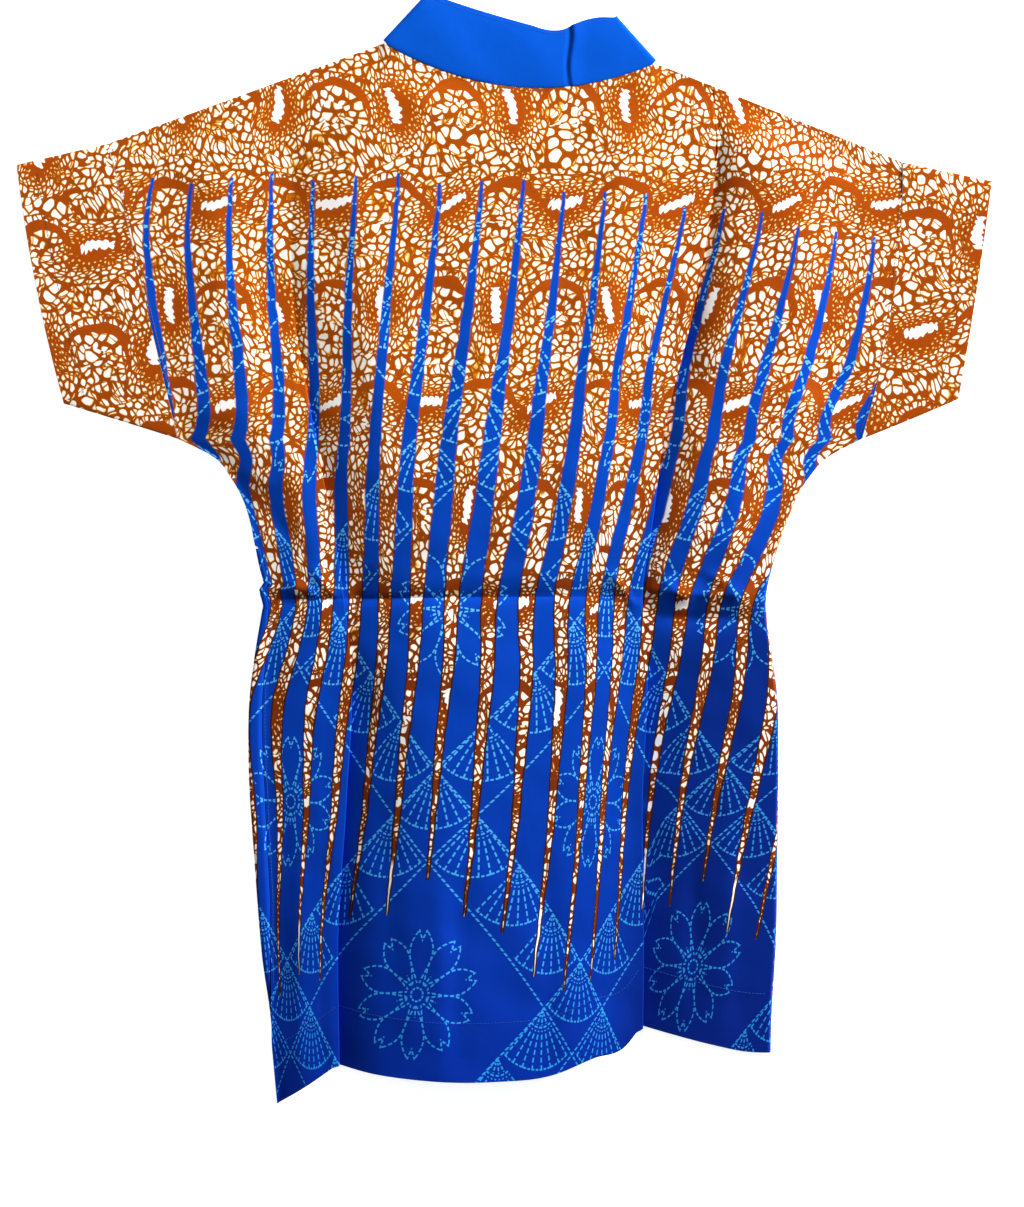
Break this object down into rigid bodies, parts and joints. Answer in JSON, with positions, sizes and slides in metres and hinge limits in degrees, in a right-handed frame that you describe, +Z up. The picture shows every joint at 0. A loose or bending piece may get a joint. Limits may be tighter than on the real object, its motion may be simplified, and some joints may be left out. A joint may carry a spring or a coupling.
{
  "type": "short-sleeved tunic shirt",
  "caption": "Short-sleeved cotton tunic shirt with a plain neck band, laid flat on its front in soft folds, printed with long tapering streaks over a dashed lattice.",
  "frame": {"origin": "centre of the shirt's footprint, on the surface that it lies on", "axes": "+Z up out of the back panel, +Y from the hem to the neck, +X to the wearer's right"},
  "size_m": [0.8288, 0.9448, 0.0287],
  "materials": {
    "body_print": "matt printed cotton, deep blue below and brown and white above",
    "sleeve_print": "matt printed cotton, brown and white",
    "plain_cotton": "matt plain blue cotton"
  },
  "bodies": {
    "root": {"back_panel": "body_print", "front_panel": "body_print", "sleeve_left": "sleeve_print", "sleeve_right": "sleeve_print", "collar_band": "plain_cotton"}
  },
  "joints": []
}
